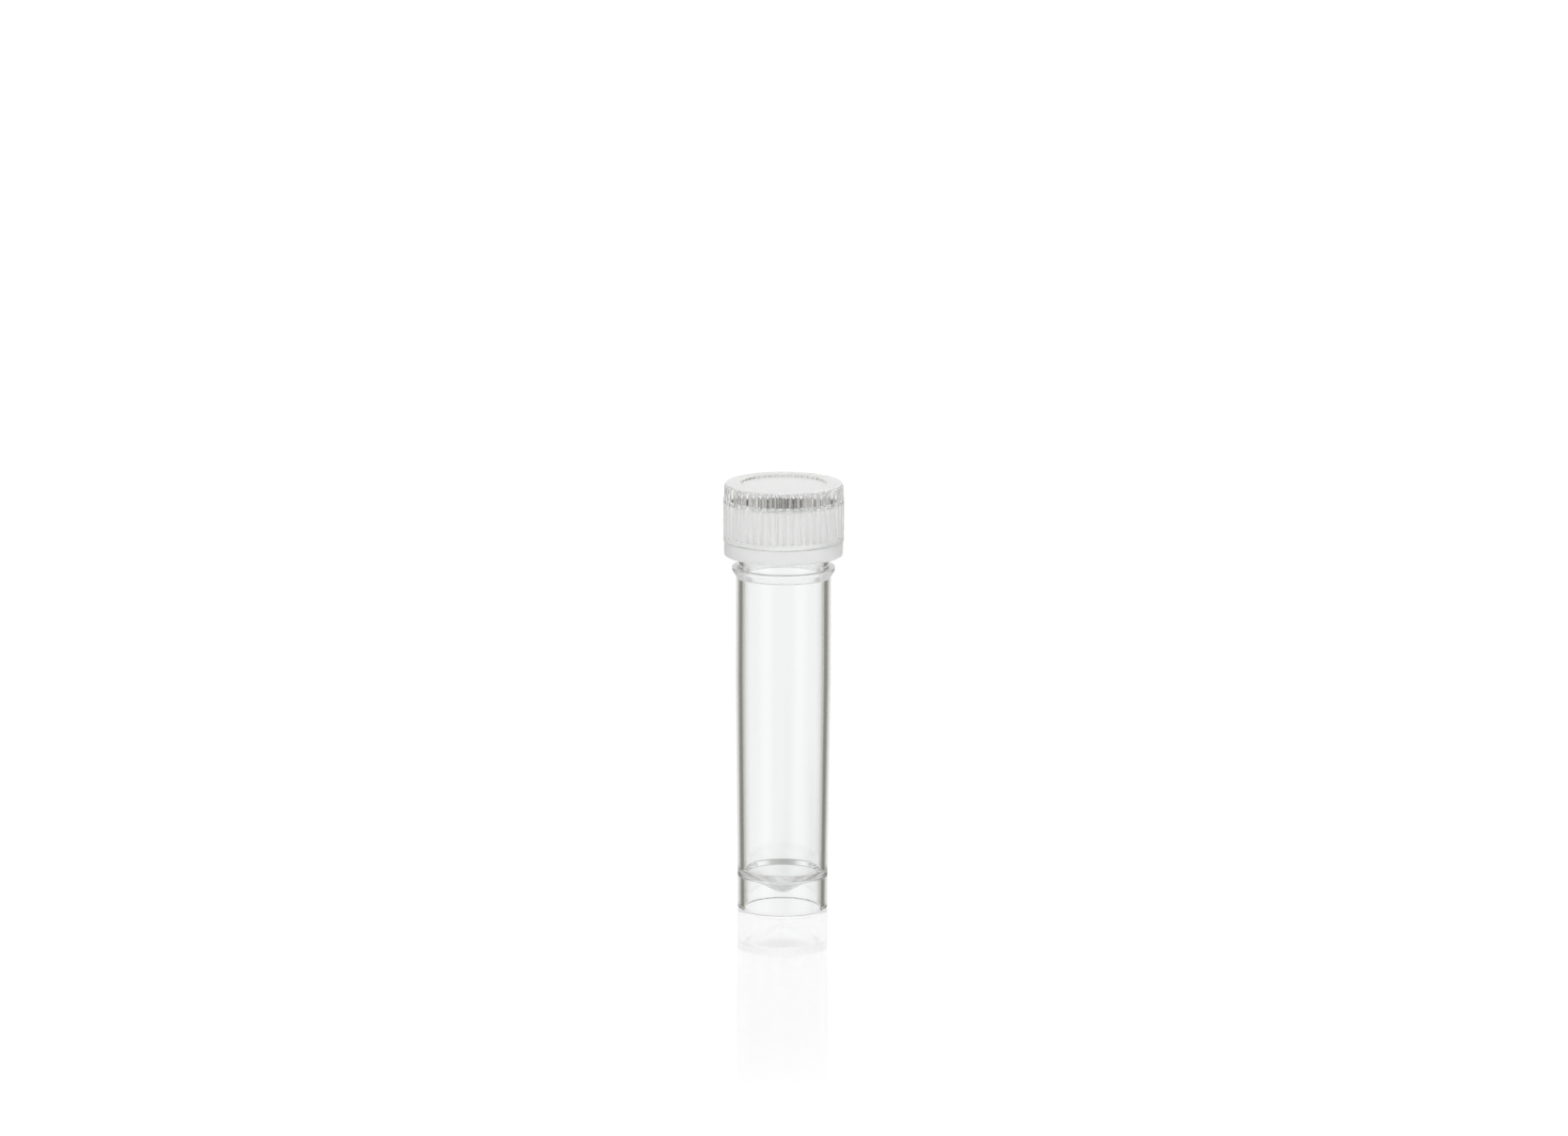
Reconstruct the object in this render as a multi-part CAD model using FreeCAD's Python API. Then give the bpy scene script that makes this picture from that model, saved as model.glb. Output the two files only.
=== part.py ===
import FreeCAD, Part
import math
import os

from FreeCAD import Vector

# Self-standing 2 ml cryogenic vial with an external-thread screw cap.
# Millimetres, +Z up, origin at the centre of the skirt's foot, axis of the tube on +Z.
# Three pieces: the moulded tube, the moulded cap, and the silicone ring between the
# tube's lip and the cap's ceiling.

# ---------------------------------------------------------------- tube, outside
FOOT_R = 4.88          # skirt at the foot
SKIRT_R = 4.92         # skirt where the body's draft starts
SKIRT_Z = 6.6
BODY_R = 5.16          # parallel upper body, which sits in a rack hole
BODY_Z0 = 25.6
BODY_Z1 = 36.74        # start of the cone under the flange
FLANGE_R = 5.575
FLANGE_Z0 = 37.46      # lower edge of the flange's rim
FLANGE_Z1 = 37.82      # top face of the flange
FLANGE_ROUND = 0.05
FLANGE_LOW_ROUND = 0.10
NECK_R = 5.05          # root of the neck thread
LIP_Z = 44.0
LIP_ROUND = 0.20
FOOT_ROUND = 0.25
FOOT_INNER_ROUND = 0.12

# ---------------------------------------------------------------- tube, inside
BORE_TOP_R = 4.38      # neck and upper body
BORE_LOW_R = 4.20      # just above the floor
FLOOR_Z = 4.38         # floor cone meets the bore here, before the fillet
FLOOR_DEG = 27.0       # floor cone, below the horizontal
FLOOR_FILLET = 0.15
FLOOR_NOSE = 1.30      # spherical centre of the floor
SKIRT_BORE_R = 4.12
UNDER_Z = 3.80         # underside cone meets the skirt's bore here
UNDER_DEG = 29.4
UNDER_FILLET = 0.18
UNDER_NOSE = 2.00

# ---------------------------------------------------------------- neck thread
LEAD = 2.50            # right-hand, one start
RIDGE_BASE = 1.00      # width of a ridge at its root
RIDGE_TOP = 0.55       # width of a ridge at its crest
NECK_CREST_R = 5.50
NECK_RIDGE_Z = 42.46   # height of the ridge's middle at azimuth -90 degrees
NECK_RIDGE_A0 = -470.0 # the ridge runs between these angles, counted from azimuth -90
NECK_RIDGE_A1 = 118.0
FLANK_GAP = 0.08       # clearance on the loaded flanks

# ---------------------------------------------------------------- cap
CAP_Z0 = 39.10         # mouth
CAP_Z1 = 47.00         # top
BAND_R = 6.44          # plain band above the mouth
BAND_Z = 40.75         # the grip ring overhangs the band from here up
GRIP_R = 6.53          # crest of the ribs
RIB_Z0 = 41.35         # the grooves end square here, above a plain ring
TAPER_Z0 = 45.30       # the crests step in a little above this height
TAPER_Z1 = 45.38
GRIP_TOP_R = 6.44
TOP_R = 6.27           # flat top face
TOP_ROUND_Z = 46.72
RIBS = 48
GROOVE_R = 6.22        # root of the grooves between the ribs
GROOVE_FRAC = 0.56     # share of the pitch that is groove, at the crest
GROOVE_ROOT_FRAC = 0.20
MOUTH_ROUND = 0.22
RECESS_R = 4.63        # shallow round recess for a marker disc
RECESS_DEPTH = 0.25
RECESS_EDGE = 0.08
CEIL_Z = 45.14
CAP_BORE_R = 5.60      # root of the internal thread
CAP_CREST_R = 5.15     # crest of the internal thread
CAP_MOUTH_R = 5.82     # flared mouth
CAP_MOUTH_Z = 39.50
CEIL_FILLET = 0.12
CAP_RIDGE_A0 = -275.0  # internal ridge, same angle count as the neck's ridge
CAP_RIDGE_A1 = 250.0

# ---------------------------------------------------------------- seal ring
SEAL_R0 = 4.28
SEAL_R1 = 5.38
SEAL_GAP = 0.02        # left to the lip and to the ceiling
SEAL_ROUND = 0.28


# ================================================================ helpers
def P(r, z):
    return Vector(r, 0.0, z)


def revolve(edges):
    """A closed chain of edges in the XZ plane, turned once round Z."""
    wire = Part.Wire(edges)
    face = Part.Face(wire)
    solid = face.revolve(Vector(0, 0, 0), Vector(0, 0, 1), 360)
    if solid.ShapeType != "Solid":
        solid = solid.Solids[0]
    if solid.Volume < 0:
        solid.reverse()
    return solid


def profile(points):
    """Edges through (r, z, fillet) corners, closed. A fillet of 0 is a sharp corner."""
    n = len(points)
    starts, ends, arcs = [None] * n, [None] * n, [None] * n
    for i in range(n):
        r, z, f = points[i]
        here = P(r, z)
        before = P(*points[i - 1][:2])
        after = P(*points[(i + 1) % n][:2])
        if f <= 0:
            starts[i] = ends[i] = here
            continue
        u = (before - here).normalize()
        v = (after - here).normalize()
        half = 0.5 * math.acos(max(-1.0, min(1.0, u.dot(v))))
        back = f / math.tan(half)
        a, b = here + u * back, here + v * back
        mid_dir = (u + v).normalize()
        centre = here + mid_dir * (f / math.sin(half))
        m = centre - mid_dir * f
        starts[i], ends[i], arcs[i] = a, b, Part.Arc(a, m, b).toShape()
    edges = []
    for i in range(n):
        if arcs[i] is not None:
            edges.append(arcs[i])
        a, b = ends[i], starts[(i + 1) % n]
        if (b - a).Length > 1e-6:
            edges.append(Part.LineSegment(a, b).toShape())
    return edges


def ridge(root_r, crest_r, buried_r, z_mid, a0, a1, run_in):
    """A helical ridge of trapezoid section that rises out of its wall at both ends.

    z_mid is the height of its middle at azimuth -90 degrees, and a0 and a1 are its ends,
    in degrees from there. buried_r lies inside the wall, so that the ridge fuses with it.
    """
    step = 10.0
    count = int(round((a1 - a0) / step))
    wires = []
    slope = 0.5 * (RIDGE_BASE - RIDGE_TOP) / abs(crest_r - root_r)
    for i in range(count + 1):
        a = a0 + (a1 - a0) * i / count
        edge = min(a - a0, a1 - a) / run_in
        s = 1.0 if edge >= 1.0 else 0.5 - 0.5 * math.cos(math.pi * max(edge, 0.0))
        tip = root_r + (crest_r - root_r) * (-0.12 + 1.12 * s)
        zc = z_mid + LEAD * a / 360.0
        half_base = 0.5 * RIDGE_BASE + slope * abs(buried_r - root_r)
        half_tip = half_base - slope * abs(tip - buried_r)
        t = math.radians(a - 90.0)
        c, q = math.cos(t), math.sin(t)
        corners = [
            (buried_r, zc - half_base),
            (tip, zc - half_tip),
            (tip, zc + half_tip),
            (buried_r, zc + half_base),
        ]
        pts = [Vector(r * c, r * q, z) for r, z in corners]
        wires.append(Part.makePolygon(pts + [pts[0]]))
    solid = Part.makeLoft(wires, True, False)
    if solid.Volume < 0:
        solid.reverse()
    return solid


def single(shape):
    """The one solid of a boolean result."""
    shape = shape.removeSplitter()
    assert len(shape.Solids) == 1, len(shape.Solids)
    s = shape.Solids[0]
    assert s.isValid()
    return s


# ================================================================ tube
def nose_arc(corner_r, corner_z, slope_deg, nose_r):
    """A cone that falls from (corner_r, corner_z) towards the axis and ends in a sphere.

    Returns the tangent point, a middle point of the arc, and the lowest point.
    """
    al = math.radians(slope_deg)
    tip_z = corner_z - corner_r * math.tan(al)
    centre_z = tip_z + nose_r / math.cos(al)
    tangent = P(nose_r * math.sin(al), centre_z - nose_r * math.cos(al))
    middle = P(nose_r * math.sin(0.5 * al), centre_z - nose_r * math.cos(0.5 * al))
    low = P(0.0, centre_z - nose_r)
    return tangent, middle, low


def make_tube():
    inner_t, inner_m, inner_low = nose_arc(BORE_LOW_R, FLOOR_Z, FLOOR_DEG, FLOOR_NOSE)
    outer_t, outer_m, outer_low = nose_arc(SKIRT_BORE_R, UNDER_Z, UNDER_DEG, UNDER_NOSE)
    chain = [
        (outer_t.x, outer_t.z, 0),
        (SKIRT_BORE_R, UNDER_Z, UNDER_FILLET),
        (SKIRT_BORE_R, 0.0, FOOT_INNER_ROUND),
        (FOOT_R, 0.0, FOOT_ROUND),
        (SKIRT_R, SKIRT_Z, 0),
        (BODY_R, BODY_Z0, 0),
        (BODY_R, BODY_Z1, FLANGE_LOW_ROUND),
        (FLANGE_R, FLANGE_Z0, FLANGE_LOW_ROUND),
        (FLANGE_R, FLANGE_Z1, FLANGE_ROUND),
        (NECK_R, FLANGE_Z1, FLANGE_ROUND),
        (NECK_R, LIP_Z, LIP_ROUND),
        (BORE_TOP_R, LIP_Z, LIP_ROUND),
        (BORE_TOP_R, BODY_Z0, 0),
        (BORE_LOW_R, FLOOR_Z, FLOOR_FILLET),
        (inner_t.x, inner_t.z, 0),
    ]
    # the open chain from the underside's tangent point round to the floor's tangent point
    closed = profile(chain)
    # the last edge joins the floor's tangent point to the first point: it is replaced by
    # the two spherical centres and a short edge on the axis
    edges = closed[:-1]
    edges.append(Part.Arc(inner_t, inner_m, inner_low).toShape())
    edges.append(Part.LineSegment(inner_low, outer_low).toShape())
    edges.append(Part.Arc(outer_low, outer_m, outer_t).toShape())
    body = revolve(edges)
    thread = ridge(
        NECK_R, NECK_CREST_R, NECK_R - 0.22, NECK_RIDGE_Z, NECK_RIDGE_A0, NECK_RIDGE_A1, 40.0
    )
    return single(body.fuse(thread))


# ================================================================ cap
def around_ribs():
    """The material between the ribs and outside them, as one ring-shaped solid."""
    pitch = 2 * math.pi / RIBS
    crest = (1 - GROOVE_FRAC) * pitch
    root = GROOVE_ROOT_FRAC * pitch
    flank = 0.5 * (pitch - crest - root)
    crest_r = GRIP_R + 0.02  # just outside the crests, which the revolved shell sets

    def at(r, a):
        return Vector(r * math.cos(a), r * math.sin(a), RIB_Z0)

    edges = []
    for i in range(RIBS):
        a = (i + 0.37) * pitch  # clear of the shell's seam
        g0 = a + crest + flank
        g1 = g0 + root
        c0, cm, c1 = at(crest_r, a), at(crest_r, a + 0.5 * crest), at(crest_r, a + crest)
        r0, rm, r1 = at(GROOVE_R, g0), at(GROOVE_R, 0.5 * (g0 + g1)), at(GROOVE_R, g1)
        edges.append(Part.Arc(c0, cm, c1).toShape())
        edges.append(Part.LineSegment(c1, r0).toShape())
        edges.append(Part.Arc(r0, rm, r1).toShape())
        edges.append(Part.LineSegment(r1, at(crest_r, a + pitch)).toShape())
    height = CAP_Z1 - RIB_Z0
    star = Part.Face(Part.Wire(edges)).extrude(Vector(0, 0, height + 0.5))
    drum = Part.makeCylinder(GRIP_R + 0.7, height + 0.3, Vector(0, 0, RIB_Z0))
    return drum.cut(star).Solids[0]


def make_cap():
    chain = [
        (0.0, CAP_Z1 - RECESS_DEPTH, 0),
        (RECESS_R - RECESS_EDGE, CAP_Z1 - RECESS_DEPTH, 0),
        (RECESS_R, CAP_Z1, 0),
        (TOP_R, CAP_Z1, 0.10),
        (GRIP_TOP_R, TOP_ROUND_Z, 0.12),
        (GRIP_TOP_R, TAPER_Z1, 0),
        (GRIP_R, TAPER_Z0, 0),
        (GRIP_R, BAND_Z, 0.03),
        (BAND_R, BAND_Z - 0.03, 0),
        (BAND_R, CAP_Z0, MOUTH_ROUND),
        (CAP_MOUTH_R, CAP_Z0, 0.08),
        (CAP_BORE_R, CAP_MOUTH_Z, 0),
        (CAP_BORE_R, CEIL_Z, CEIL_FILLET),
        (0.0, CEIL_Z, 0),
    ]
    shell = revolve(profile(chain))
    half_sum = 0.5 * (RIDGE_BASE + RIDGE_TOP) - 0.5 * (RIDGE_BASE - RIDGE_TOP) * (
        (CAP_BORE_R - NECK_CREST_R) / (CAP_BORE_R - CAP_CREST_R)
    )
    flank = math.atan2(0.5 * (RIDGE_BASE - RIDGE_TOP), CAP_BORE_R - CAP_CREST_R)
    below = half_sum + FLANK_GAP / math.cos(flank)
    thread = ridge(
        CAP_BORE_R,
        CAP_CREST_R,
        CAP_BORE_R + 0.22,
        NECK_RIDGE_Z - below,
        CAP_RIDGE_A0,
        CAP_RIDGE_A1,
        35.0,
    )
    return single(shell.fuse(thread).cut(around_ribs()))


# ================================================================ seal ring
def make_seal():
    z0, z1 = LIP_Z + SEAL_GAP, CEIL_Z - SEAL_GAP
    return revolve(
        profile(
            [
                (SEAL_R0, z0, SEAL_ROUND),
                (SEAL_R1, z0, SEAL_ROUND),
                (SEAL_R1, z1, SEAL_ROUND),
                (SEAL_R0, z1, SEAL_ROUND),
            ]
        )
    )


os.makedirs("parts", exist_ok=True)
pieces = {
    "vial_tube": make_tube(),
    "screw_cap": make_cap(),
    "seal_ring": make_seal(),
}
for name, shape in pieces.items():
    box = shape.BoundBox
    print(
        "%-10s valid %s  volume %.1f mm3  x %.3f..%.3f  z %.3f..%.3f"
        % (name, shape.isValid(), shape.Volume, box.XMin, box.XMax, box.ZMin, box.ZMax)
    )
    shape.exportStep("parts/%s.step" % name)
for a in ("vial_tube", "seal_ring"):
    for b in ("screw_cap", "seal_ring"):
        if a != b:
            common = pieces[a].common(pieces[b]).Volume
            gap = pieces[a].distToShape(pieces[b])[0]
            print("%s / %s: common %.6f mm3, gap %.3f mm" % (a, b, common, gap))
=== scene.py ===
import math

import bpy
import numpy as np
from mathutils import Matrix, Vector


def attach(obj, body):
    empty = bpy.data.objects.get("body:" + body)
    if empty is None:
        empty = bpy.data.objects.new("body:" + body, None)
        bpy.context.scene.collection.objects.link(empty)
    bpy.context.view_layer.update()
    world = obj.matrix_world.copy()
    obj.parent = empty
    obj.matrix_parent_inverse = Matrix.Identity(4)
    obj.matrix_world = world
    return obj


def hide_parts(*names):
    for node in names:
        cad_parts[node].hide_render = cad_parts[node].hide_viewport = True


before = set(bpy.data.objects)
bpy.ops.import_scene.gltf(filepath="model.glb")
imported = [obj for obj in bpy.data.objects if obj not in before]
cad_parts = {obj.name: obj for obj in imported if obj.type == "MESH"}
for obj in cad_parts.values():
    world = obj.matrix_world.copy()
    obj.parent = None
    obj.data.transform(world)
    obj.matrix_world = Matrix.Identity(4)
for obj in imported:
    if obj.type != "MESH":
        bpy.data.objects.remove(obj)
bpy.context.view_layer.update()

MM = 0.001

# ====================================================================== dimensions, in millimetres
# The same driving dimensions as the CAD: the pieces below stand exactly where its solids are.
FOOT_R, SKIRT_R, SKIRT_Z = 4.88, 4.92, 6.6
BODY_R, BODY_Z0, BODY_Z1 = 5.16, 25.6, 36.74
FLANGE_R, FLANGE_Z0, FLANGE_Z1 = 5.575, 37.46, 37.82
NECK_R, LIP_Z = 5.05, 44.0
BORE_TOP_R, BORE_LOW_R = 4.38, 4.20
FLOOR_Z, FLOOR_DEG, FLOOR_NOSE = 4.38, 27.0, 1.30
SKIRT_BORE_R = 4.12
UNDER_Z, UNDER_DEG, UNDER_NOSE = 3.80, 29.4, 2.00
LEAD, RIDGE_BASE, RIDGE_TOP = 2.50, 1.00, 0.55
NECK_CREST_R, NECK_RIDGE_Z, NECK_A0, NECK_A1 = 5.50, 42.46, -470.0, 118.0
FLANK_GAP = 0.08
CAP_Z0, CAP_Z1 = 39.10, 47.00
BAND_R, BAND_Z = 6.44, 40.75
GRIP_R, RIB_Z0 = 6.53, 41.35
TAPER_Z0, TAPER_Z1, GRIP_TOP_R = 45.30, 45.38, 6.44
TOP_R, TOP_ROUND_Z = 6.27, 46.72
RIBS, GROOVE_R = 48, 6.22
RECESS_R, RECESS_DEPTH, RECESS_EDGE = 4.63, 0.25, 0.08
CEIL_Z, CAP_BORE_R, CAP_CREST_R = 45.14, 5.60, 5.15
CAP_MOUTH_R, CAP_MOUTH_Z = 5.82, 39.50
CAP_A0, CAP_A1 = -275.0, 250.0
SEAL_R0, SEAL_R1, SEAL_GAP, SEAL_ROUND = 4.28, 5.38, 0.02, 0.28


# ====================================================================== mesh code
def rounded(corners, support=0.035):
    """Points (r, z) along an open chain of corners (r, z, fillet, arc steps).

    Fillets are true arcs, and each bend has a short row on both sides, so that the smooth
    shading of a long wall isn't bent by its neighbour.
    """
    pts = [tuple(corners[0][:2])]
    runs = []
    last = np.array(corners[0][:2], float)
    for i in range(1, len(corners) - 1):
        r, z, f, steps = corners[i]
        here = np.array([r, z], float)
        u = np.array(corners[i - 1][:2], float) - here
        v = np.array(corners[i + 1][:2], float) - here
        u /= np.linalg.norm(u)
        v /= np.linalg.norm(v)
        if f <= 0:
            arc = [here]
        else:
            half = 0.5 * math.acos(max(-1.0, min(1.0, float(u @ v))))
            back = f / math.tan(half)
            mid = (u + v) / np.linalg.norm(u + v)
            centre = here + mid * (f / math.sin(half))
            a, b = here + u * back - centre, here + v * back - centre
            turn = math.pi - 2 * half
            arc = []
            for k in range(steps + 1):
                t = k / steps
                w = (math.sin((1 - t) * turn) * a + math.sin(t * turn) * b) / math.sin(turn)
                arc.append(centre + w)
        runs.append((last, arc[0]))
        runs.append(arc)
        last = arc[-1]
    runs.append((last, np.array(corners[-1][:2], float)))
    out = []
    for run in runs:
        if isinstance(run, tuple):
            p, q = run
            d = q - p
            n = float(np.linalg.norm(d))
            out.append(p)
            if n > 4 * support:
                out.append(p + d * (support / n))
                out.append(q - d * (support / n))
            out.append(q)
        else:
            out.extend(run)
    clean = [out[0]]
    for p in out[1:]:
        if np.linalg.norm(p - clean[-1]) > 1e-5:
            clean.append(p)
    return clean


def subdivide(points, inside, step):
    """Adds evenly spaced rows to the straight runs whose middle is inside the given test."""
    out = [points[0]]
    for p, q in zip(points[:-1], points[1:]):
        n = np.linalg.norm(q - p)
        m = 0.5 * (p + q)
        if n > step and inside(m[0], m[1]):
            k = int(math.ceil(n / step))
            out.extend(p + (q - p) * (j / k) for j in range(1, k))
        out.append(q)
    return out


def nose(corner_r, corner_z, slope_deg, nose_r, steps):
    """From the axis out to the tangent point of a cone that ends in a sphere."""
    al = math.radians(slope_deg)
    tip_z = corner_z - corner_r * math.tan(al)
    centre_z = tip_z + nose_r / math.cos(al)
    return [
        np.array([nose_r * math.sin(al * k / steps), centre_z - nose_r * math.cos(al * k / steps)])
        for k in range(steps + 1)
    ]


def smooth_min(a, b, k):
    h = np.clip(0.5 + 0.5 * (b - a) / k, 0, 1)
    return b * (1 - h) + a * h - k * h * (1 - h)


def smooth_max(a, b, k):
    return -smooth_min(-a, -b, k)


def ridge(theta, z, z_mid, a0, a1, run_in, height):
    """Radial height of the helical ridge over its wall, at angles theta and height z.

    z_mid is the height of the ridge's middle at azimuth -90 degrees; a0 and a1 are its
    ends, in degrees from there.
    """
    slope = 0.5 * (RIDGE_BASE - RIDGE_TOP) / height
    here = np.degrees(theta) + 90.0
    best = np.zeros_like(theta)
    for k in range(-3, 3):
        a = np.mod(here, 360.0) + 360.0 * k
        edge = np.minimum(a - a0, a1 - a) / run_in
        s = 0.5 - 0.5 * np.cos(np.pi * np.clip(edge, 0, 1))
        tip = height * (-0.12 + 1.12 * s)
        flank = (0.5 * RIDGE_BASE - np.abs(z - (z_mid + LEAD * a / 360.0))) / slope
        h = smooth_min(tip, flank, 0.07)
        h = smooth_max(h, -0.03, 0.06)
        best = np.maximum(best, np.where((a >= a0) & (a <= a1), h, 0.0))
    return best


def lathe(name, rows, theta, height=None):
    """A closed body of revolution as one watertight grid.

    rows are (r, z) from axis to axis, or a closed loop if the ends aren't on the axis.
    height(i, r, z, theta) gives each row's radii round the axis.
    """
    n = len(theta)
    on_axis = rows[0][0] < 1e-9 and rows[-1][0] < 1e-9
    body = rows[1:-1] if on_axis else rows
    c, s = np.cos(theta), np.sin(theta)
    co = []
    for i, (r, z) in enumerate(body):
        rr = np.full(n, r) if height is None else height(i, r, z, theta)
        co.append(np.stack([rr * c, rr * s, np.full(n, z)], -1))
    m = len(body)
    co = np.concatenate(co)
    j = np.arange(n)
    k = (j + 1) % n
    quads = []
    for i in range(m if not on_axis else m - 1):
        a, b = i * n, ((i + 1) % m) * n
        quads.append(np.stack([a + j, a + k, b + k, b + j], -1))
    quads = np.concatenate(quads)
    tris = []
    if on_axis:
        first, last = len(co), len(co) + 1
        co = np.concatenate([co, [[0, 0, rows[0][1]], [0, 0, rows[-1][1]]]])
        tris.append(np.stack([np.full(n, first), k, j], -1))
        e = (m - 1) * n
        tris.append(np.stack([np.full(n, last), e + j, e + k], -1))
    mesh = bpy.data.meshes.new(name)
    faces = [list(map(int, q)) for q in quads] + [list(map(int, t)) for block in tris for t in block]
    mesh.from_pydata((co * MM).tolist(), [], faces)
    mesh.validate()
    mesh.polygons.foreach_set("use_smooth", np.ones(len(mesh.polygons), bool))
    mesh.update()
    # outward normals: the signed volume has to be positive
    mesh.calc_loop_triangles()
    t = np.zeros(len(mesh.loop_triangles) * 3, int)
    mesh.loop_triangles.foreach_get("vertices", t)
    v = np.zeros(len(mesh.vertices) * 3)
    mesh.vertices.foreach_get("co", v)
    v = v.reshape(-1, 3)[t.reshape(-1, 3)]
    volume = np.einsum("ij,ij->i", v[:, 0], np.cross(v[:, 1], v[:, 2])).sum() / 6
    if volume < 0:
        mesh.flip_normals()
    obj = bpy.data.objects.new(name, mesh)
    bpy.context.scene.collection.objects.link(obj)
    print(name, "rows", m, "triangles", len(mesh.loop_triangles), "volume mm3 %.2f" % (abs(volume) * 1e9))
    return obj


# ---------------------------------------------------------------------- tube
def make_tube():
    under = nose(SKIRT_BORE_R, UNDER_Z, UNDER_DEG, UNDER_NOSE, 8)
    floor = nose(BORE_LOW_R, FLOOR_Z, FLOOR_DEG, FLOOR_NOSE, 6)
    wall = rounded(
        [
            (under[-1][0], under[-1][1], 0, 0),
            (SKIRT_BORE_R, UNDER_Z, 0.18, 6),
            (SKIRT_BORE_R, 0.0, 0.12, 5),
            (FOOT_R, 0.0, 0.25, 7),
            (SKIRT_R, SKIRT_Z, 0, 0),
            (BODY_R, BODY_Z0, 0, 0),
            (BODY_R, BODY_Z1, 0.10, 3),
            (FLANGE_R, FLANGE_Z0, 0.10, 4),
            (FLANGE_R, FLANGE_Z1, 0.05, 4),
            (NECK_R, FLANGE_Z1, 0.05, 4),
            (NECK_R, LIP_Z, 0.20, 7),
            (BORE_TOP_R, LIP_Z, 0.20, 7),
            (BORE_TOP_R, BODY_Z0, 0, 0),
            (BORE_LOW_R, FLOOR_Z, 0.15, 5),
            (floor[-1][0], floor[-1][1], 0, 0),
        ]
    )
    on_neck = lambda r, z: abs(r - NECK_R) < 0.01 and 38.1 < z < 43.85
    wall = subdivide(wall, on_neck, 0.052)
    wall = subdivide(wall, lambda r, z: not on_neck(r, z) and z < 37.2, 2.4)
    rows = under + wall[1:-1] + floor[::-1]

    def height(i, r, z, theta):
        if abs(r - NECK_R) < 1e-4 and 38.12 < z < 43.82:
            return r + ridge(theta, z, NECK_RIDGE_Z, NECK_A0, NECK_A1, 40.0, NECK_CREST_R - NECK_R)
        return np.full(len(theta), r)

    theta = np.arange(396) * (2 * math.pi / 396)
    return lathe("tube_body", rows, theta, height)


# ---------------------------------------------------------------------- cap
def make_cap():
    rows = rounded(
        [
            (0.0, CAP_Z1 - RECESS_DEPTH, 0, 0),
            (RECESS_R - RECESS_EDGE, CAP_Z1 - RECESS_DEPTH, 0.06, 4),
            (RECESS_R, CAP_Z1, 0.04, 4),
            (TOP_R, CAP_Z1, 0.10, 4),
            (GRIP_TOP_R, TOP_ROUND_Z, 0.12, 3),
            (GRIP_TOP_R, TAPER_Z1, 0, 0),
            (GRIP_R, TAPER_Z0, 0, 0),
            (GRIP_R, BAND_Z, 0.03, 3),
            (BAND_R, BAND_Z - 0.03, 0.02, 3),
            (BAND_R, CAP_Z0, 0.22, 8),
            (CAP_MOUTH_R, CAP_Z0, 0.08, 4),
            (CAP_BORE_R, CAP_MOUTH_Z, 0, 0),
            (CAP_BORE_R, CEIL_Z, 0.12, 4),
            (0.0, CEIL_Z, 0, 0),
        ]
    )
    # the grooves end square a little above the plain ring
    out = []
    for p, q in zip(rows[:-1], rows[1:]):
        out.append(p)
        if abs(p[0] - GRIP_R) < 1e-4 and abs(q[0] - GRIP_R) < 1e-4 and p[1] > RIB_Z0 > q[1]:
            for dz in (0.10, 0.045, 0.02, 0.006, -0.006, -0.04):
                out.append(np.array([GRIP_R, RIB_Z0 + dz]))
    rows = out + [rows[-1]]
    in_bore = lambda r, z: abs(r - CAP_BORE_R) < 0.01 and 39.5 < z < 44.1
    rows = subdivide(rows, in_bore, 0.064)
    half_sum = 0.5 * (RIDGE_BASE + RIDGE_TOP) - 0.5 * (RIDGE_BASE - RIDGE_TOP) * (
        (CAP_BORE_R - NECK_CREST_R) / (CAP_BORE_R - CAP_CREST_R)
    )
    flank = math.atan2(0.5 * (RIDGE_BASE - RIDGE_TOP), CAP_BORE_R - CAP_CREST_R)
    z_mid = NECK_RIDGE_Z - (half_sum + FLANK_GAP / math.cos(flank))

    # ten points a rib: share of the pitch from the crest's middle, and depth of the groove
    share = np.array([0.0, 0.17, 0.225, 0.265, 0.365, 0.41, 0.5, 0.59, 0.635, 0.735, 0.775, 0.83])
    depth = np.array([0.0, 0.0, 0.05, 0.20, 0.82, 0.975, 1.0, 0.975, 0.82, 0.20, 0.05, 0.0])
    pitch = 2 * math.pi / RIBS
    theta = ((np.arange(RIBS)[:, None] + 0.59 + share[None, :]) * pitch).ravel()
    groove = np.tile(depth, RIBS)

    def height(i, r, z, theta):
        if z > RIB_Z0 - 0.02 and r > GROOVE_R + 0.004:
            t = min(1.0, max(0.0, (z - (RIB_Z0 - 0.006)) / 0.035))
            t = t * t * (3 - 2 * t)
            return r - (r - GROOVE_R) * groove * t
        if abs(r - CAP_BORE_R) < 1e-4 and 39.52 < z < 44.1:
            return r - ridge(theta, z, z_mid, CAP_A0, CAP_A1, 35.0, CAP_BORE_R - CAP_CREST_R)
        return np.full(len(theta), r)

    return lathe("cap_shell", rows, theta, height)


# ---------------------------------------------------------------------- seal
def make_seal():
    z0, z1 = LIP_Z + SEAL_GAP, CEIL_Z - SEAL_GAP
    start = (0.5 * (SEAL_R0 + SEAL_R1), z0)
    rows = rounded(
        [
            start + (0, 0),
            (SEAL_R1, z0, SEAL_ROUND, 7),
            (SEAL_R1, z1, SEAL_ROUND, 7),
            (SEAL_R0, z1, SEAL_ROUND, 7),
            (SEAL_R0, z0, SEAL_ROUND, 7),
            start + (0, 0),
        ]
    )[:-1]
    theta = np.arange(256) * (2 * math.pi / 256)
    return lathe("seal_gasket", rows, theta)


tube = make_tube()
cap = make_cap()
seal = make_seal()


# ====================================================================== materials
def nodes_of(tree):
    tree.nodes.clear()
    return tree.nodes, tree.links


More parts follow.
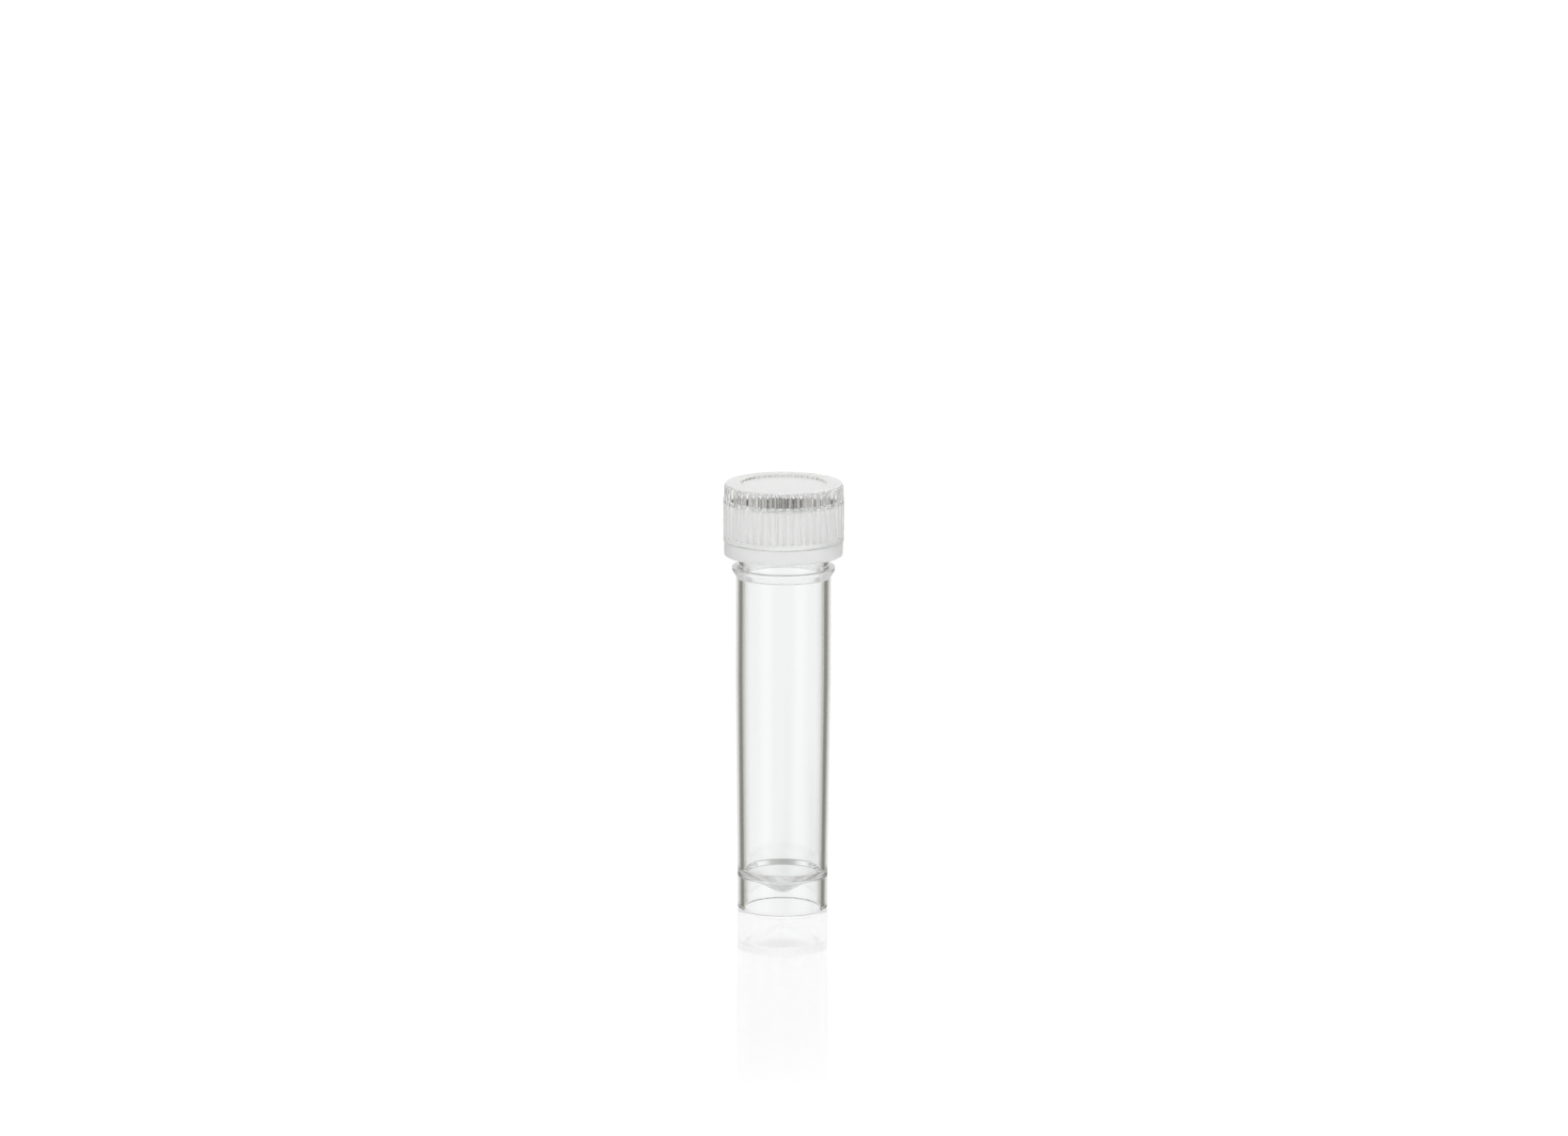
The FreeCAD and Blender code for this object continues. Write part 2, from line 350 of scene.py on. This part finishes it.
def val(tree, op, a, b=None, c=None, clamp=False):
    n = tree.nodes.new("ShaderNodeMath")
    n.operation = op
    n.use_clamp = clamp
    for k, x in enumerate((a, b, c)):
        if x is None:
            continue
        if isinstance(x, (int, float)):
            n.inputs[k].default_value = x
        else:
            tree.links.new(x, n.inputs[k])
    return n.outputs[0]


def remap(tree, x, a0, a1, b0, b1, smooth=True):
    n = tree.nodes.new("ShaderNodeMapRange")
    n.interpolation_type = "SMOOTHSTEP" if smooth else "LINEAR"
    tree.links.new(x, n.inputs["Value"])
    for key, v in (("From Min", a0), ("From Max", a1), ("To Min", b0), ("To Max", b1)):
        n.inputs[key].default_value = v
    return n.outputs["Result"]


def noise(tree, vector, scale, detail=3.0, rough=0.5):
    n = tree.nodes.new("ShaderNodeTexNoise")
    n.inputs["Scale"].default_value = scale
    n.inputs["Detail"].default_value = detail
    n.inputs["Roughness"].default_value = rough
    tree.links.new(vector, n.inputs["Vector"])
    return n.outputs["Fac"]


def stretched(tree, vector, sx, sy, sz):
    n = tree.nodes.new("ShaderNodeMapping")
    n.inputs["Scale"].default_value = (sx, sy, sz)
    tree.links.new(vector, n.inputs["Vector"])
    return n.outputs["Vector"]


def bump(tree, height, strength, distance, normal=None):
    n = tree.nodes.new("ShaderNodeBump")
    n.inputs["Strength"].default_value = strength
    n.inputs["Distance"].default_value = distance
    tree.links.new(height, n.inputs["Height"])
    if normal is not None:
        tree.links.new(normal, n.inputs["Normal"])
    return n.outputs["Normal"]


def start_material(name):
    m = bpy.data.materials.new(name)
    m.use_nodes = True
    t = m.node_tree
    t.nodes.clear()
    out = t.nodes.new("ShaderNodeOutputMaterial")
    p = t.nodes.new("ShaderNodeBsdfPrincipled")
    t.links.new(p.outputs["BSDF"], out.inputs["Surface"])
    coord = t.nodes.new("ShaderNodeTexCoord")
    return m, t, p, coord.outputs["Object"]


def clear_tube():
    """Polished natural polypropylene: clear, with faint flow lines and a satin flange rim."""
    m, t, p, where = start_material("clear_tube")
    p.inputs["Base Color"].default_value = (0.985, 0.992, 0.992, 1)
    p.inputs["IOR"].default_value = 1.49
    flow = noise(t, stretched(t, where, 900, 900, 60), 1.0, 3.0, 0.5)
    fine = noise(t, where, 2600, 2.0, 0.5)
    sep = t.nodes.new("ShaderNodeSeparateXYZ")
    t.links.new(where, sep.inputs[0])
    axis = t.nodes.new("ShaderNodeVectorMath")
    axis.operation = "LENGTH"
    t.links.new(stretched(t, where, 1, 1, 0), axis.inputs[0])
    inner = remap(t, axis.outputs["Value"], 0.00400, 0.00408, 1.0, 0.0)
    low = remap(t, sep.outputs["Z"], 0.0046, 0.0050, 1.0, 0.0)
    plate = val(t, "MULTIPLY", inner, low)
    r = val(t, "MULTIPLY_ADD", flow, 0.012, 0.002)
    r = val(t, "MULTIPLY_ADD", plate, 0.16, r)
    outer = remap(t, axis.outputs["Value"], 0.00506, 0.00514, 0.0, 1.0)
    rim = val(
        t, "MULTIPLY", outer,
        val(
            t, "MULTIPLY",
            remap(t, sep.outputs["Z"], 0.03662, 0.03672, 0.0, 1.0),
            remap(t, sep.outputs["Z"], 0.03784, 0.03788, 1.0, 0.0),
        ),
    )
    r = val(t, "MULTIPLY_ADD", rim, 0.10, r)
    t.links.new(r, p.inputs["Roughness"])
    face = val(t, "MULTIPLY", rim, remap(t, sep.outputs["Z"], 0.03778, 0.03781, 0.0, 1.0))
    clear = val(t, "MULTIPLY_ADD", rim, -0.42, 1.0)
    t.links.new(val(t, "MULTIPLY_ADD", face, -0.20, clear), p.inputs["Transmission Weight"])
    h = val(t, "MULTIPLY_ADD", fine, 0.15, flow)
    t.links.new(bump(t, h, 0.10, 0.00001), p.inputs["Normal"])
    return m


def clear_cap():
    """The same plastic, a little milky: matt on the band and the top, satin on the ribs."""
    m, t, p, where = start_material("clear_cap")
    p.inputs["IOR"].default_value = 1.49
    sep = t.nodes.new("ShaderNodeSeparateXYZ")
    t.links.new(where, sep.inputs[0])
    z = sep.outputs["Z"]
    grain = noise(t, where, 5200, 2.0, 0.6)
    cloud = noise(t, stretched(t, where, 500, 500, 260), 1.0, 3.0, 0.55)
    band = remap(t, z, 0.04066, 0.04071, 1.0, 0.0)
    axis = t.nodes.new("ShaderNodeVectorMath")
    axis.operation = "LENGTH"
    t.links.new(stretched(t, where, 1, 1, 0), axis.inputs[0])
    top = remap(t, z, 0.04690, 0.04698, 0.0, 1.0)
    disc = val(
        t, "MULTIPLY",
        remap(t, z, 0.04671, 0.04674, 0.0, 1.0),
        remap(t, axis.outputs["Value"], 0.00452, 0.00456, 1.0, 0.0),
    )
    matt = val(t, "MAXIMUM", band, val(t, "MAXIMUM", top, disc))
    side = val(
        t, "MULTIPLY",
        remap(t, z, 0.04082, 0.04088, 0.0, 1.0), remap(t, z, 0.04475, 0.04505, 1.0, 0.0),
    )
    r = val(t, "MULTIPLY_ADD", matt, 0.36, 0.004)
    r = val(t, "MULTIPLY_ADD", side, 0.19, r)
    r = val(t, "MULTIPLY_ADD", cloud, 0.012, r)
    t.links.new(r, p.inputs["Roughness"])
    milk = val(t, "MULTIPLY_ADD", side, -0.46, 0.99)
    milk = val(t, "MULTIPLY_ADD", matt, -0.50, milk)
    t.links.new(milk, p.inputs["Transmission Weight"])
    mix = t.nodes.new("ShaderNodeMix")
    mix.data_type = "RGBA"
    mix.inputs["A"].default_value = (0.972, 0.975, 0.972, 1)
    mix.inputs["B"].default_value = (0.986, 0.988, 0.986, 1)
    t.links.new(cloud, mix.inputs["Factor"])
    # painted shade: fine dark lines in the base colour, round the recess edge and under the ribs, where
    # the edge and the rib step show dark
    radius = axis.outputs["Value"]
    # painted shade line round the recess edge
    edge = val(
        t, "MULTIPLY",
        remap(t, z, 0.04671, 0.04674, 0.0, 1.0),
        val(
            t, "MULTIPLY",
            remap(t, radius, 0.00454, 0.00458, 0.0, 1.0),
            remap(t, radius, 0.00464, 0.00470, 1.0, 0.0),
        ),
    )
    # painted shade line under the rib step
    painted_shade_under_ribs = val(
        t, "MULTIPLY",
        remap(t, z, 0.04068, 0.04072, 0.0, 1.0), remap(t, z, 0.04078, 0.04082, 1.0, 0.0),
    )
    lines = t.nodes.new("ShaderNodeMix")
    lines.data_type = "RGBA"
    # colour of the painted shade lines
    lines.inputs["B"].default_value = (0.66, 0.65, 0.60, 1)
    t.links.new(
        val(t, "MAXIMUM", val(t, "MULTIPLY", edge, 0.75), val(t, "MULTIPLY", painted_shade_under_ribs, 0.55)),
        lines.inputs["Factor"],
    )
    t.links.new(mix.outputs["Result"], lines.inputs["A"])
    t.links.new(lines.outputs["Result"], p.inputs["Base Color"])
    t.links.new(bump(t, grain, 0.08, 0.00001), p.inputs["Normal"])
    return m


def silicone():
    """Natural silicone, milky and slightly warm."""
    m, t, p, where = start_material("silicone")
    p.inputs["IOR"].default_value = 1.41
    p.inputs["Transmission Weight"].default_value = 0.88
    speck = noise(t, where, 3000, 3.0, 0.6)
    mix = t.nodes.new("ShaderNodeMix")
    mix.data_type = "RGBA"
    mix.inputs["A"].default_value = (0.95, 0.95, 0.94, 1)
    mix.inputs["B"].default_value = (0.98, 0.98, 0.97, 1)
    t.links.new(speck, mix.inputs["Factor"])
    t.links.new(mix.outputs["Result"], p.inputs["Base Color"])
    t.links.new(val(t, "MULTIPLY_ADD", speck, 0.12, 0.26), p.inputs["Roughness"])
    t.links.new(bump(t, speck, 0.3, 0.00002), p.inputs["Normal"])
    return m


for obj, mat, body, node, slot in (
    (tube, clear_tube(), "tube", "vial_tube", "clear_tube"),
    (cap, clear_cap(), "cap", "screw_cap", "clear_cap"),
    (seal, silicone(), "seal", "seal_ring", "silicone"),
):
    obj.data.materials.append(mat)
    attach(obj, body)
    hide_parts(node)


# ====================================================================== floor
def make_floor():
    """A white glossy sheet. Its reflection of the vial fades with the distance from the foot."""
    mesh = bpy.data.meshes.new("studio_floor")
    s = 6.0
    mesh.from_pydata([(-s, -s, 0), (s, -s, 0), (s, s, 0), (-s, s, 0)], [], [(0, 1, 2, 3)])
    mesh.update()
    o = bpy.data.objects.new("studio_floor", mesh)
    bpy.context.scene.collection.objects.link(o)
    o.location.z = -0.00002
    m = bpy.data.materials.new("studio_floor")
    m.use_nodes = True
    t = m.node_tree
    t.nodes.clear()
    out = t.nodes.new("ShaderNodeOutputMaterial")
    glow = t.nodes.new("ShaderNodeEmission")
    glow.inputs["Color"].default_value = (1, 1, 1, 1)
    glow.inputs["Strength"].default_value = 1.02
    gloss = t.nodes.new("ShaderNodeBsdfGlossy")
    gloss.inputs["Color"].default_value = (1, 1, 1, 1)
    gloss.inputs["Roughness"].default_value = 0.03
    coord = t.nodes.new("ShaderNodeTexCoord")
    length = t.nodes.new("ShaderNodeVectorMath")
    length.operation = "LENGTH"
    t.links.new(coord.outputs["Object"], length.inputs[0])
    fade = remap(t, length.outputs["Value"], 0.004, 0.088, 0.36, 0.0, smooth=False)
    mix = t.nodes.new("ShaderNodeMixShader")
    t.links.new(fade, mix.inputs[0])
    t.links.new(glow.outputs[0], mix.inputs[1])
    t.links.new(gloss.outputs[0], mix.inputs[2])
    t.links.new(mix.outputs[0], out.inputs["Surface"])
    o.data.materials.append(m)
    o.visible_diffuse = False
    o.visible_glossy = False
    o.visible_transmission = False
    o.visible_shadow = False
    return o


make_floor()


# ====================================================================== studio
# Brightness of the studio by angle from straight ahead. At the height where a straight look
# through the vial comes out: a white wall ahead, black flags beside it and wide soft boxes
# at the sides. THROUGH is met by light that went through the plastic, MIRRORED by the rest.
THROUGH = [
    (0, (0.905, 0.905, 0.905)), (3, (0.90, 0.90, 0.90)), (5, (0.86, 0.86, 0.86)),
    (8, (0.83, 0.83, 0.83)), (14, (0.80, 0.80, 0.80)), (18, (0.73, 0.73, 0.73)),
    (23, (0.42, 0.415, 0.39)), (29, (0.21, 0.205, 0.17)), (36, (0.12, 0.115, 0.085)),
    (45, (0.20, 0.195, 0.16)), (55, (0.64, 0.63, 0.60)), (66, (1.22, 1.21, 1.19)),
    (82, (1.13, 1.13, 1.12)), (102, (1.17, 1.17, 1.17)), (120, (1.38, 1.38, 1.38)),
    (141, (1.36, 1.36, 1.36)), (155, (1.08, 1.08, 1.08)), (180, (1.10, 1.10, 1.10)),
]
MIRRORED = [
    (0, (1.0, 1.0, 1.0)), (15, (1.0, 1.0, 1.0)), (19, (0.93, 0.93, 0.93)),
    (23, (0.79, 0.79, 0.78)), (29, (0.46, 0.45, 0.43)), (36, (0.18, 0.175, 0.15)),
    (44, (0.46, 0.45, 0.43)), (55, (0.77, 0.77, 0.75)), (67, (1.22, 1.22, 1.21)),
    (82, (1.60, 1.60, 1.60)), (100, (1.56, 1.56, 1.56)), (120, (1.46, 1.46, 1.46)),
    (142, (1.32, 1.32, 1.32)), (154, (0.95, 0.95, 0.95)), (166, (0.74, 0.75, 0.75)),
    (180, (0.58, 0.60, 0.60)),
]
# A little above the horizon the white wall ends and the dark studio shows.
ABOVE = [
    (0, (0.010, 0.004, 0.0)), (9, (0.010, 0.004, 0.0)), (16, (0.40, 0.39, 0.36)),
    (22, (0.84, 0.83, 0.81)), (30, (0.84, 0.83, 0.81)), (37, (0.20, 0.19, 0.16)),
    (60, (0.16, 0.15, 0.13)), (90, (0.36, 0.35, 0.33)), (120, (0.50, 0.50, 0.49)),
    (180, (0.20, 0.20, 0.19)),
]
# The wall's upper part, between the horizon and its end.
LEVEL = [
    (0, (0.96, 0.96, 0.96)), (35, (0.96, 0.96, 0.96)), (48, (0.66, 0.66, 0.65)),
    (60, (0.66, 0.66, 0.65)), (75, (0.84, 0.84, 0.84)), (105, (0.84, 0.84, 0.84)),
    (135, (0.84, 0.84, 0.84)), (180, (0.74, 0.74, 0.74)),
]
# The bench below, with a grey card in line with the camera.
DOWN = [
    (0, (0.43, 0.43, 0.42)), (8, (0.45, 0.45, 0.44)), (11, (0.78, 0.78, 0.78)),
    (18, (0.94, 0.94, 0.94)), (60, (0.84, 0.84, 0.84)), (90, (0.80, 0.80, 0.80)),
    (135, (0.80, 0.80, 0.80)), (165, (0.70, 0.70, 0.70)), (180, (0.50, 0.50, 0.50)),
]
# What lights the milky parts.
SOFT = [
    (0, (0.22, 0.22, 0.22)), (80, (0.22, 0.22, 0.22)), (110, (0.60, 0.60, 0.60)),
    (135, (1.0, 1.0, 1.0)), (180, (1.02, 1.02, 1.02)),
]
# The rest of the room by elevation.
ROOM = [
    (-90, (0.86, 0.86, 0.86)), (-34, (0.86, 0.86, 0.86)),
    (-26, (0.80, 0.80, 0.80)), (-18, (0.86, 0.86, 0.86)), (-9, (1.0, 1.0, 1.0)),
    (10, (0.96, 0.96, 0.96)), (12, (0.84, 0.84, 0.83)),
    (16, (0.84, 0.84, 0.83)), (18, (0.92, 0.92, 0.92)), (90, (0.98, 0.98, 0.98)),
]


def ramp(tree, x, stops, low=0.0, high=180.0):
    """Colour by x, which runs from 0 to 1 over the given span of degrees."""
    n = tree.nodes.new("ShaderNodeValToRGB")
    n.color_ramp.interpolation = "LINEAR"
    e = n.color_ramp.elements
    while len(e) > 1:
        e.remove(e[-1])
    e[0].position = (stops[0][0] - low) / (high - low)
    e[0].color = (*stops[0][1], 1)
    for deg, col in stops[1:]:
        k = e.new((deg - low) / (high - low))
        k.color = (*col, 1)
    tree.links.new(x, n.inputs[0])
    return n.outputs[0]


def mix_colour(tree, fac, a, b, blend="MIX"):
    n = tree.nodes.new("ShaderNodeMix")
    n.data_type = "RGBA"
    n.blend_type = blend
    n.clamp_factor = True
    for key, x in (("Factor", fac), ("A", a), ("B", b)):
        if isinstance(x, (int, float)):
            n.inputs[key].default_value = x
        elif isinstance(x, tuple):
            n.inputs[key].default_value = (*x, 1)
        else:
            tree.links.new(x, n.inputs[key])
    return n.outputs["Result"]


def make_world():
    w = bpy.data.worlds.new("studio")
    bpy.context.scene.world = w
    w.use_nodes = True
    t = w.node_tree
    t.nodes.clear()
    out = t.nodes.new("ShaderNodeOutputWorld")
    back = t.nodes.new("ShaderNodeBackground")
    t.links.new(back.outputs[0], out.inputs["Surface"])
    coord = t.nodes.new("ShaderNodeTexCoord")
    sep = t.nodes.new("ShaderNodeSeparateXYZ")
    t.links.new(coord.outputs["Generated"], sep.inputs[0])
    x, y, z = sep.outputs
    psi = val(t, "ARCTAN2", val(t, "MULTIPLY", x, -1.0), y)
    el = val(t, "MULTIPLY", val(t, "ARCSINE", z), 180 / math.pi)

    def off(centre, fold=1):
        """Angle between the direction and the centre, 0 to 180 degrees, as a share of 180."""
        d = val(t, "SUBTRACT", psi, math.radians(centre))
        if fold > 1:
            d = val(t, "MULTIPLY", d, float(fold))
        d = val(t, "ARCCOSINE", val(t, "COSINE", d))
        return val(t, "MULTIPLY", d, 1 / (math.pi * fold))

    fourfold = off(0.0, 4)
    main, second, third = off(0.0), off(225.0), off(45.0)

    def band(lo, hi, soft):
        return val(
            t, "MULTIPLY",
            remap(t, el, lo - soft, lo + soft, 0.0, 1.0),
            remap(t, el, hi - soft, hi + soft, 1.0, 0.0),
        )

    room = ramp(t, val(t, "MULTIPLY_ADD", el, 1 / 180.0, 0.5), ROOM, -90.0, 90.0)
    room = mix_colour(t, remap(t, el, -34.0, -26.0, 1.0, 0.0), room, ramp(t, main, DOWN))
    through, mirrored = room, mix_colour(t, remap(t, el, -1.0, 1.0, 0.0, 1.0), room, (1.0, 1.0, 1.0))
    for lo, hi, soft, angle, blend in (
        (-17.6, -9.6, 0.6, main, "MIX"), (-18.6, -13.75, 0.3, second, "DARKEN"),
        (-28.2, -22.0, 0.6, third, "DARKEN"), (-9.8, -0.4, 0.4, fourfold, "DARKEN"),
    ):
        m = band(lo, hi, soft)
        through = mix_colour(t, m, through, ramp(t, angle, THROUGH), blend)
        mirrored = mix_colour(t, m, mirrored, ramp(t, angle, MIRRORED), blend)
    through = mix_colour(t, band(-1.0, 7.9, 0.4), through, ramp(t, main, LEVEL))
    for lo, hi, soft, angle in (
        (8.1, 12.8, 0.3, main), (14.3, 17.0, 0.3, second), (23.4, 26.6, 0.5, third),
    ):
        through = mix_colour(t, band(lo, hi, soft), through, ramp(t, angle, ABOVE), "DARKEN")
    path = t.nodes.new("ShaderNodeLightPath")
    col = mix_colour(t, path.outputs["Is Transmission Ray"], mirrored, through)
    soft = mix_colour(t, remap(t, el, 10.0, 40.0, 0.0, 1.0), ramp(t, main, SOFT), (1.02, 1.02, 1.02))
    col = mix_colour(t, path.outputs["Is Diffuse Ray"], col, soft)
    col = mix_colour(t, path.outputs["Is Camera Ray"], col, (1.02, 1.02, 1.02))
    t.links.new(col, back.inputs["Color"])
    back.inputs["Strength"].default_value = 1.0


make_world()


# ====================================================================== camera
def make_camera():
    cam = bpy.data.cameras.new("camera")
    cam.sensor_fit = "HORIZONTAL"
    cam.sensor_width = 36.0
    cam.lens = 238.6
    cam.clip_start, cam.clip_end = 0.05, 20.0
    o = bpy.data.objects.new("camera", cam)
    bpy.context.scene.collection.objects.link(o)
    pitch, roll = math.radians(11.53), math.radians(0.18)
    ahead = Vector((0, math.cos(pitch), -math.sin(pitch)))
    right0, up0 = Vector((1, 0, 0)), Vector((0, math.sin(pitch), math.cos(pitch)))
    right = right0 * math.cos(roll) + up0 * math.sin(roll)
    up = up0 * math.cos(roll) - right0 * math.sin(roll)
    m = Matrix((right, up, -ahead)).transposed().to_4x4()
    m.translation = Vector((0.00005, -1.10, 0.262))
    o.matrix_world = m
    bpy.context.scene.camera = o


make_camera()

scene = bpy.context.scene
scene.view_settings.view_transform = "Standard"
scene.view_settings.look = "None"
scene.cycles.max_bounces = 32
scene.cycles.transmission_bounces = 32
scene.cycles.glossy_bounces = 16
scene.cycles.diffuse_bounces = 6
scene.cycles.caustics_reflective = True
scene.cycles.caustics_refractive = True
scene.cycles.blur_glossy = 0.0
scene.cycles.sample_clamp_indirect = 0.0
scene.cycles.use_adaptive_sampling = False
scene.cycles.use_denoising = True
scene.cycles.denoiser = "OPENIMAGEDENOISE"
